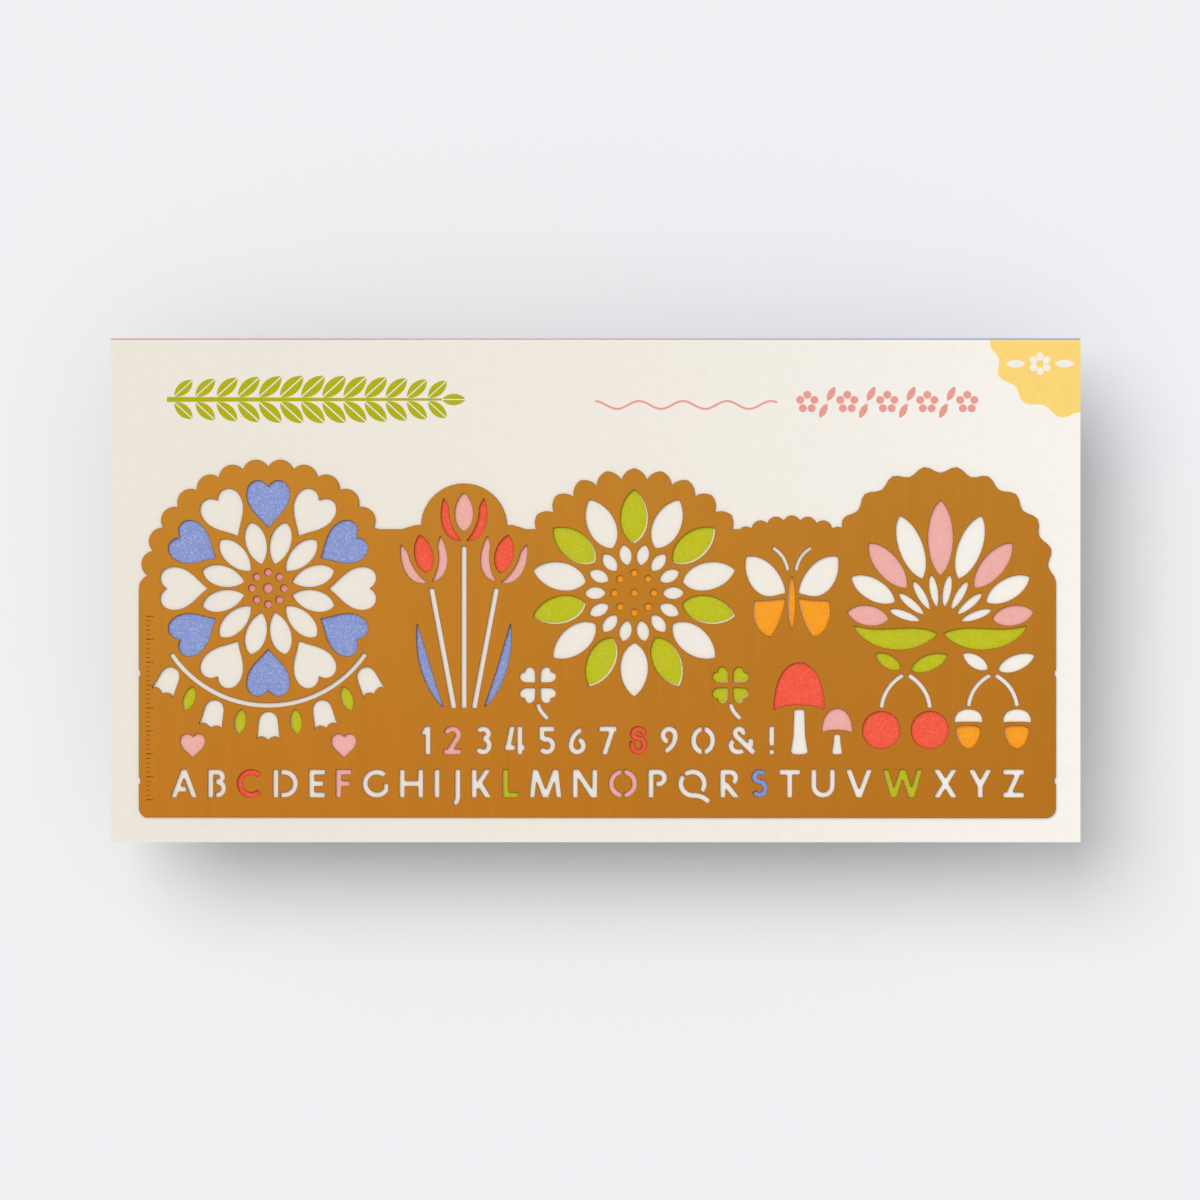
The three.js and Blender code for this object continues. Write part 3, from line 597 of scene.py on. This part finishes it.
def foldStrip():
    hinge = Vector((0, creaseLow.y, (creaseLow.z + creaseHigh.z) / 2))
    gap = creaseLow.y - faceHigh.y
    pick()
    bpy.ops.mesh.primitive_plane_add(size=1, location=(0, faceHigh.y, (faceLow.z + faceHigh.z) / 2),
                                     rotation=(math.pi / 2, 0, 0))
    strip = added("creased_fold")
    strip.scale = (cardWidth, faceHigh.z - faceLow.z, 1)
    settled(strip)
    editAll(strip)
    bpy.ops.mesh.extrude_region_move(TRANSFORM_OT_translate={"value": (0, gap, 0)})
    bpy.ops.mesh.spin(steps=fold["steps"], angle=math.pi, center=hinge, axis=(1, 0, 0))
    bpy.ops.mesh.extrude_region_move(TRANSFORM_OT_translate={"value": (0, -gap, 0)})
    bpy.ops.mesh.select_all(action="SELECT")
    bpy.ops.mesh.remove_doubles(threshold=weld)
    bpy.ops.mesh.normals_make_consistent(inside=False)
    bpy.ops.object.mode_set(mode="OBJECT")
    patchLeft = cardRight - corner["across"] - corner["wave"]
    coated(strip, creamBoard("cream board at the fold", patchLeft),
           printedBoard("print over the fold", True))
    outer = (creaseHigh.z - creaseLow.z) / 2
    for face in strip.data.polygons:
        arm = face.center - hinge
        turned = math.degrees(math.atan2(arm.y, arm.z))
        far = Vector((arm.y, arm.z)).length > fold["outer"] * outer
        outside = far and abs(face.normal.x) < fold["endOn"]
        under = face.normal.z < -level and face.center.z < backLow.z + 10 * weld
        face.material_index = 1 if under or (outside and turned > fold["printFrom"]) else 0
    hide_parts("fold_crease")
    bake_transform(strip)


coated(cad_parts["front_panel"], cream)
coated(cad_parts["back_panel"], printedBoard("back panel board", False))
foldStrip()
print("card done")


# the plate's outlines are drawn round again, so that no facet shows, and their corners are softened
# as etching leaves them. Lengths are in millimetres and angles in degrees.
outlining = {
    "doubled": 0.05,  # closer points are one
    "straight": 0.8,  # a smaller turn is none
    "corner": 56,  # a larger turn is a corner and not part of a curve
    "likeness": 1.75,  # how far the bends at the two ends of a curved edge may differ
    "longest": 1.9,  # times its longer neighbour, past which an edge is straight
    "step": 11,  # from point to point round a curve
    "flat": 1.5,  # a curve that swings less than this stays straight
    "steepest": 0.7,  # the sine of the most that half an edge may swing
    "softenFrom": 24,
    "softRadius": 0.24,
    "softStep": 26,
    "sharpest": 137,  # a sharper corner is softened as this one is
    "shortening": 0.45,  # of a side at most, at each of its ends
    "loop": 12,  # points at most in a loop where a widened outline crosses itself
    "reach": 2,  # times its way out, the most that a corner moves
}


# the edges of the plate's top, from its lower left corner
def facetedOutlines():
    sheet = bmesh.new()
    sheet.from_mesh(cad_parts["stencil_plate"].data)
    bmesh.ops.remove_doubles(sheet, verts=sheet.verts, dist=2 * weld)
    others = [face for face in sheet.faces if face.normal.z < level]
    bmesh.ops.delete(sheet, geom=others, context="FACES")
    used, outlines = set(), []
    for edge in sheet.edges:
        if not edge.is_boundary or edge in used:
            continue
        used.add(edge)
        loop = list(edge.verts)
        while True:
            onward = next((e for e in loop[-1].link_edges if e.is_boundary and e not in used), None)
            if onward is None:
                break
            used.add(onward)
            loop.append(onward.other_vert(loop[-1]))
        outlines.append([Vector(((vert.co.x - plateLow.x) / mm, (vert.co.y - plateLow.y) / mm))
                         for vert in loop[:-1]])
    sheet.free()
    return outlines


def turnAt(before, here, after):
    arriving, leaving = here - before, after - here
    return math.degrees(math.atan2(arriving.cross(leaving), arriving.dot(leaving)))


def bendAt(before, here, after):  # one over the radius through three points, with the sign of its turn
    arriving, leaving = here - before, after - here
    return 2 * arriving.cross(leaving) / (arriving.length * leaving.length * (after - before).length)


def threes(outline):  # each point between its two neighbours
    return zip(outline[-1:] + outline[:-1], outline, outline[1:] + outline[:1])


def thinned(outline):
    points = [here for before, here, after in threes(outline)
              if (here - before).length > outlining["doubled"]]
    return [three[1] for three in threes(points) if abs(turnAt(*three)) > outlining["straight"]]


def curved(outline):
    count = len(outline)
    turns = [abs(turnAt(*three)) for three in threes(outline)]
    bends = [bendAt(*three) for three in threes(outline)]
    lengths = [(after - here).length for before, here, after in threes(outline)]
    steepest = outlining["steepest"]

    def sameCurve(i):  # whether the bends at both ends of the edge after point i agree
        first, second = bends[i % count], bends[(i + 1) % count]
        if first * second <= 0 or max(turns[i % count], turns[(i + 1) % count]) > outlining["corner"]:
            return False
        return max(first / second, second / first) < outlining["likeness"]

    points = []
    for i, here in enumerate(outline):
        points.append(here)
        there = outline[(i + 1) % count]
        first, second = bends[i], bends[(i + 1) % count]
        found = [first, second] * sameCurve(i) + [first] * sameCurve(i - 1) + [second] * sameCurve(i + 1)
        if not found or lengths[i] > outlining["longest"] * max(lengths[i - 1], lengths[(i + 1) % count]):
            continue
        bend = sum(found) / len(found)
        swing = math.asin(max(-steepest, min(steepest, bend * lengths[i] / 2)))
        if abs(swing) < math.radians(outlining["flat"]):
            continue
        pieces = max(2, math.ceil(abs(swing) * 2 / math.radians(outlining["step"])))
        along = (there - here).normalized()
        out = Vector((along.y, -along.x))
        for k in range(1, pieces):
            angle = swing * (2 * k / pieces - 1)
            lift = math.cos(angle) - math.cos(swing)
            points.append((here + there) / 2 + (along * math.sin(angle) + out * lift) / bend)
    return points


def shortened(line, by):  # a line of points without its first stretch
    for i, (here, there) in enumerate(zip(line, line[1:])):
        length = (there - here).length
        if by < length:
            return [here.lerp(there, by / length)] + line[i + 1:]
        by -= length
    return line[-1:]


def softened(outline):
    turns = [abs(turnAt(*three)) for three in threes(outline)]
    sharp = [i for i, turn in enumerate(turns) if turn > outlining["softenFrom"]]
    if not sharp:
        return outline
    cuts = {}
    for i in sharp:
        half = math.radians(min(turns[i], outlining["sharpest"]) / 2)
        cuts[i] = outlining["softRadius"] * math.tan(half)
    sides = []
    for i, j in zip(sharp, sharp[1:] + sharp[:1]):
        side = outline[i:j + 1] if i < j else outline[i:] + outline[:j + 1]
        most = outlining["shortening"] * sum((there - here).length for here, there in zip(side, side[1:]))
        trimmed = shortened(side, min(cuts[i], most))
        sides.append(shortened(trimmed[::-1], min(cuts[j], most))[::-1])
    points = []
    for i, before, after in zip(sharp, sides[-1:] + sides[:-1], sides):
        start, tip, end = before[-1], outline[i], after[0]
        steps = max(2, math.ceil(turns[i] / outlining["softStep"]))
        for k in range(1, steps):
            share = k / steps
            points.append(start.lerp(tip, share).lerp(tip.lerp(end, share), share))
        points += after
    return points


def corners(outline):
    xs, ys = [p.x for p in outline], [p.y for p in outline]
    return Vector((min(xs), min(ys))), Vector((max(xs), max(ys)))


def span(outline):
    low, high = corners(outline)
    return (high - low).length


def turnedLeft(outline):  # anticlockwise
    area = sum(outline[i - 1].cross(outline[i]) for i in range(len(outline)))
    return outline if area > 0 else outline[::-1]


# moved out to its right-hand side. Where a tight turn crosses itself, the loop shrinks to a point.
def spread(outline, by):
    points = []
    for before, here, after in threes(outline):
        arriving, leaving = (here - before).normalized(), (after - here).normalized()
        out = Vector((arriving.y + leaving.y, -arriving.x - leaving.x))
        points.append(here + out.normalized() * by / max(out.length / 2, 1 / outlining["reach"]))
    count = len(points)
    for i in range(count):
        for j in range(i + 2, i + outlining["loop"]):
            meeting = intersect_line_line_2d(points[i - 1], points[i],
                                             points[(j - 1) % count], points[j % count])
            if meeting:
                for k in range(i, j):
                    points[k % count] = meeting
    return points


redrawn = sorted((turnedLeft(softened(curved(thinned(o)))) for o in facetedOutlines()), key=span)
cutOuts, edge = redrawn[:-1], redrawn[-1]
print("outlines drawn,", len(cutOuts), "cut-outs,", sum(len(o) for o in redrawn), "points")


# how far the metal stands back at each depth: a soft rim at both faces, and a ridge half way
# down, where the acid from the two sides met. In millimetres.
etching = [(0, 0.125), (0.012, 0.085), (0.05, 0.05), (0.2, 0), (0.35, 0.05), (0.388, 0.085), (0.4, 0.125)]
fillLimit = 1e-6  # points closer than this are one while a face is filled


# a flat face of the plate inside its last ring and outside the others. A way of -1 turns it over.
def plateFace(sheet, rings, way):
    points = [vert for ring in rings for vert in ring]
    loops, start = [], 0
    for ring in rings:
        loops.append(list(range(start, start + len(ring))))
        start += len(ring)
    loops[-1].reverse()
    filled = delaunay_2d_cdt([point.co.xy / mm for point in points], [], loops, 1, fillLimit)
    triangles, origins, around = filled[2], filled[3], filled[5]
    for triangle, loopsAround in zip(triangles, around):
        if len(loopsAround) == 1:
            sheet.faces.new([points[origins[i][0]] for i in triangle][::way])


def etchedPlate():
    sheet = bmesh.new()
    tops, feet = [], []
    for outline in cutOuts + [edge[::-1]]:
        rings = []
        for depth, back in etching:
            height = plateHigh.z - depth * mm
            rings.append([sheet.verts.new((plateLow.x + p.x * mm, plateLow.y + p.y * mm, height))
                          for p in spread(outline, back)])
        for upper, lower in zip(rings, rings[1:]):
            for i in range(len(upper)):
                wall = sheet.faces.new((upper[i - 1], upper[i], lower[i], lower[i - 1]))
                wall.material_index = 1
        tops.append(rings[0])
        feet.append(rings[-1])
    plateFace(sheet, tops, 1)
    plateFace(sheet, feet, -1)
    bmesh.ops.remove_doubles(sheet, verts=sheet.verts, dist=weld)
    for face in sheet.faces:
        face.smooth = True
    for side in sheet.edges:  # sharp where the wall meets a flat face
        side.smooth = len({face.material_index for face in side.link_faces}) == 1
    mesh = bpy.data.meshes.new("etched_plate")
    sheet.to_mesh(mesh)
    sheet.free()
    solid = coated(fromMesh("etched_plate", mesh), brushedBrass(), etchedAndShaded)
    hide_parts("stencil_plate")
    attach(solid, "stencil")
    print("  plate has", len(mesh.polygons), "faces")


# a scale of ticks along the left edge of the plate
ticks = {
    "left": 1.6 * mm,
    "short": 0.9 * mm,
    "long": 1.7 * mm,
    "width": 0.16 * mm,
    "foot": 4 * mm,
    "pitch": 1 * mm,
    "count": 41,
    "longEvery": 5,
    "film": 0.004 * mm,
}


def tickRow(length, pitch, count):
    pick()
    middle = (plateLow.x + ticks["left"] + length / 2, plateLow.y + ticks["foot"], plateHigh.z)
    bpy.ops.mesh.primitive_cube_add(size=1, location=middle)
    tick = added("tick")
    tick.scale = (length, ticks["width"], ticks["film"])
    settled(tick)
    return applied(tick, "ARRAY", count=count, use_relative_offset=False, use_constant_offset=True,
                   constant_offset_displace=(0, pitch, 0))


def edgeScale():
    every = ticks["longEvery"]
    short = tickRow(ticks["short"], ticks["pitch"], ticks["count"])
    long = tickRow(ticks["long"], every * ticks["pitch"], ticks["count"] // every + 1)
    scale = coated(joined("edge_scale", [short, long]), etchedAndShaded)
    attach(scale, "stencil")


etchedPlate()
edgeScale()
for name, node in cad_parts.items():
    if name.startswith("glue_dot"):
        coated(node, clearGlue())
print("plate and glue done")


# the print that shows through the plate. Places are in millimetres from the plate's lower left corner.
# A ring colours every cut-out between two radii of a flower and within so many degrees of straight up,
# or every second one of a count. A spot colours the cut-outs whose middle is near it.
# A slip says how far a patch spreads past its cut-out, and how far its printing slid in X and Y.
printed = {
    "rings": [
        ("rose", (28.2, 50.1), (0, 5.5), 180, None, (0.14, 0, 0)),
        ("blue", (28.2, 50.1), (14, 23), 180, 12, (0.14, 0.03, -0.02)),
        ("lime", (108.0, 49.1), (12, 23), 180, 14, (-0.02, -0.22, 0.2)),
        ("amber", (108.0, 49.1), (0, 5.5), 180, None, (0.06, 0.12, -0.08)),
        ("pink", (174.8, 41.4), (13, 22), 85, 18, (0.12, -0.04, 0.03)),
        ("lime", (129.0, 29.0), (0, 4), 180, None, (0.04, -0.1, 0.12)),
    ],
    "spots": [
        ("coral", (0.14, 0.05, 0), [
            (68.2, 65.2), (73.6, 65.2), (62.1, 57.6), (79.7, 57.6), (144.0, 28.8), (161.9, 19.2),
            (172.5, 19.2), (24.1, 7.5), (108.9, 17.0)]),
        ("pink", (0.14, -0.04, 0.03), [
            (70.9, 66.8), (60.0, 55.5), (65.6, 56.6), (76.2, 56.6), (81.8, 55.5), (152.2, 21.3),
            (11.7, 15.8), (44.7, 15.8), (44.7, 7.5), (103.9, 7.5), (107.2, 7.5), (68.3, 17.0)]),
        ("blue", (0.14, 0.03, -0.02), [(63.5, 33.3), (78.3, 33.3), (135.4, 7.5)]),
        ("lime", (0.06, 0.15, 0), [
            (11.0, 26.1), (22.1, 21.0), (34.3, 21.0), (45.4, 26.1), (165.0, 39.4), (184.6, 39.4),
            (163.4, 34.1), (172.4, 33.8), (81.1, 7.5), (166.6, 7.5)]),
        ("amber", (0.04, 0.2, -0.1), [
            (142.4, 47.0), (137.5, 43.7), (147.3, 43.7), (180.9, 17.7), (191.5, 17.7)]),
    ],
    "near": 0.9,
    "widest": 22,
}


def printOn(outline):  # a colour and its slip, or none
    low, high = corners(outline)
    middle = (low + high) / 2
    for colour, centre, (inner, outer), reach, count, slip in printed["rings"]:
        arm = middle - Vector(centre)
        turn = math.degrees(math.atan2(arm.x, arm.y))
        inside = inner <= arm.length <= outer and abs(turn) <= reach
        counted = count is None or round(turn * count / 360) % 2 == 0
        if inside and counted and span(outline) < printed["widest"]:
            return colour, slip
    for colour, slip, places in printed["spots"]:
        if any((middle - Vector(p)).length < printed["near"] for p in places):
            return colour, slip
    return None


def printedPatches():
    patches = {}
    for outline in cutOuts:
        found = printOn(outline)
        if found:
            colour, (by, slipX, slipY) = found
            patch = [((p.x + slipX) * mm + plateLow.x, (p.y + slipY) * mm + plateLow.y)
                     for p in spread(outline, by)]
            patches.setdefault(colour, []).append(patch)
    for colour, outlines in patches.items():
        inkFilm(flatShapes("printed_" + colour, outlines), colour)
        print("  ", colour, len(outlines), "patches")


printedPatches()
print("print under the plate done")


# the print above the plate. Places are from the card's left edge and its head.
garland = {
    "left": 12.2 * mm,
    "right": 77.4 * mm,
    "middle": 13.4 * mm,
    "stem": (1.1 * mm, 0.5 * mm),
    "leaf": (6.9 * mm, 3.3 * mm),
    "rib": 0.3 * mm,
    "pairs": 13,
    "first": 0.35,  # of the pitch before the first pair
    "gap": 0.1 * mm,
    "lean": 42,  # degrees
    "smallest": 0.76,
}


def leafGarland():
    leaf = leafShape(*garland["leaf"], garland["rib"])
    left, y = cardLeft + garland["left"], cardHead - garland["middle"]
    length = garland["right"] - garland["left"] - garland["leaf"][0] * garland["smallest"]
    wide, narrow = garland["stem"]
    stem = ribbonShape("stem", [(left, y), (left + length, y)], wide, narrow)
    parts = [stem, copied(leaf, left + length, y, -math.pi / 2, garland["smallest"])]
    for i in range(garland["pairs"]):
        share = (i + garland["first"]) / garland["pairs"]
        size = garland["smallest"] + (1 - garland["smallest"]) * math.sin(math.pi * share)
        off = (wide + (narrow - wide) * share) / 2 + garland["gap"]
        for side in (1, -1):
            turn = math.radians(side * garland["lean"] - 90)
            parts.append(copied(leaf, left + length * share, y + side * off, turn, size))
    dropped(leaf)
    return inkFilm(joined("leaf_garland", parts), "olive")


wavyLine = {
    "left": 105.6 * mm,
    "right": 145.3 * mm,
    "middle": 14.6 * mm,
    "period": 9.6 * mm,
    "height": 0.85 * mm,
    "width": 0.45 * mm,
    "steps": 124,
}


def pinkWave():
    length = wavyLine["right"] - wavyLine["left"]
    points = []
    for i in range(wavyLine["steps"] + 1):
        along = length * i / wavyLine["steps"]
        lift = wavyLine["height"] * math.cos(2 * math.pi * along / wavyLine["period"])
        points.append((cardLeft + wavyLine["left"] + along, cardHead - wavyLine["middle"] + lift))
    return inkFilm(ribbonShape("wavy_line", points, wavyLine["width"]), "rose")


flowerRow = {
    "left": 149.4 * mm,
    "right": 189.3 * mm,
    "middle": 14.0 * mm,
    "flower": (5, 2.5 * mm, 1.75 * mm),
    "leaf": (3.6 * mm, 1.5 * mm),
    "leafOff": 0.25 * mm,
    "lean": 28,  # degrees
    "count": 5,
}


def pinkFlowers():
    petals, radius, width = flowerRow["flower"]
    flower = flowerShape(petals, radius, width)
    leaf = leafShape(*flowerRow["leaf"])
    pitch = (flowerRow["right"] - flowerRow["left"] - 2 * radius) / (flowerRow["count"] - 1)
    y = cardHead - flowerRow["middle"]
    parts = []
    for i in range(flowerRow["count"]):
        x = cardLeft + flowerRow["left"] + radius + pitch * i
        parts.append(copied(flower, x, y))
        if i < flowerRow["count"] - 1:
            half = x + pitch / 2
            for off, turn in ((flowerRow["leafOff"], 0), (-flowerRow["leafOff"], 180)):
                parts.append(copied(leaf, half, y + off, math.radians(turn - flowerRow["lean"])))
    dropped(flower, leaf)
    return inkFilm(joined("flower_row", parts), "rose")


leafGarland()
pinkWave()
pinkFlowers()
cornerPatch()
print("print above the plate done")


# a pale floor, a riser under the card that the camera doesn't see, grey as painted shade so that the card's
# shadow on the floor comes out deeper, and two soft lamps: one at the upper left and a broad one straight
# above
stage = {
    "drop": 26 * mm,
    "riser": (176 * mm, 76 * mm),
    "riserGap": 0.2 * mm,
    # painted shade: the riser is grey so that it takes up light under the card and the shadow on the floor
    # goes deeper
    "riserShadowGrey": seen(140, 141, 143),
    "floor": seen(241, 242, 244),
    "clouds": (9, 0.3, 0.985),  # their scale, share and shade
    "roughness": 0.9,
    "specular": 0.1,
    "backdrop": seen(240, 241, 243),
    "size": 12,
    "sky": (0.99, 0.995, 1.0),
    "world": 0.42,
    # strength, degrees across, degrees up, and degrees round from the right
    "lamps": {"side_lamp": (1.6, 45, 58, 135), "top_lamp": (0.45, 90, 90, 135)},
}


def paleFinish(name, tone):
    finish = Finish(name)
    scale, share, shade = stage["clouds"]
    colour = finish.mix(finish.noise(scale, 2) * share, tone, tinted(tone, shade))
    return finish.coat({"Base Color": colour, "Roughness": stage["roughness"],
                        "Specular IOR Level": stage["specular"]})


def makeFloor():
    pick()
    bpy.ops.mesh.primitive_plane_add(size=stage["size"], location=(0, 0, -stage["drop"]))
    floor = settled(added("floor"))
    pick()
    bpy.ops.mesh.primitive_cube_add(size=1, location=(0, 0, -stage["drop"] / 2))
    riser = added("riser")
    riser.scale = (*stage["riser"], stage["drop"] - stage["riserGap"])
    settled(riser)
    coated(floor, paleFinish("pale floor", stage["floor"]))
    coated(riser, paleFinish("grey riser deepening the shadow", stage["riserShadowGrey"]))


def makeLamps():
    for name, (strength, width, height, side) in stage["lamps"].items():
        data = bpy.data.lights.new(name, "SUN")
        data.energy, data.angle = strength, math.radians(width)
        lamp = bpy.data.objects.new(name, data)
        lamp.rotation_euler = (0, math.radians(90 - height), math.radians(side))
        scene.collection.objects.link(lamp)


def makeWorld():
    world = bpy.data.worlds.new("studio")
    world.use_nodes = True
    scene.world = world
    sheet = NodeSheet(world.node_tree)
    world.node_tree.nodes.clear()
    straight = sheet.node("ShaderNodeLightPath", output="Is Camera Ray")
    glossy = sheet.node("ShaderNodeLightPath", output="Is Glossy Ray")
    through = sheet.node("ShaderNodeLightPath", output="Is Transmission Ray")
    soft = sheet.node("ShaderNodeBackground", {}, {"Color": stage["sky"], "Strength": stage["world"]})
    plain = sheet.node("ShaderNodeBackground", {}, {"Color": stage["backdrop"], "Strength": 1.0})
    shown = sheet.between(straight + glossy + through, 0, 1)
    mixed = sheet.node("ShaderNodeMixShader", {}, {0: shown, 1: soft, 2: plain})
    sheet.node("ShaderNodeOutputWorld", {}, {"Surface": mixed})


makeFloor()
makeWorld()
makeLamps()
scene.view_settings.view_transform = "Standard"
print("stage and lights done")
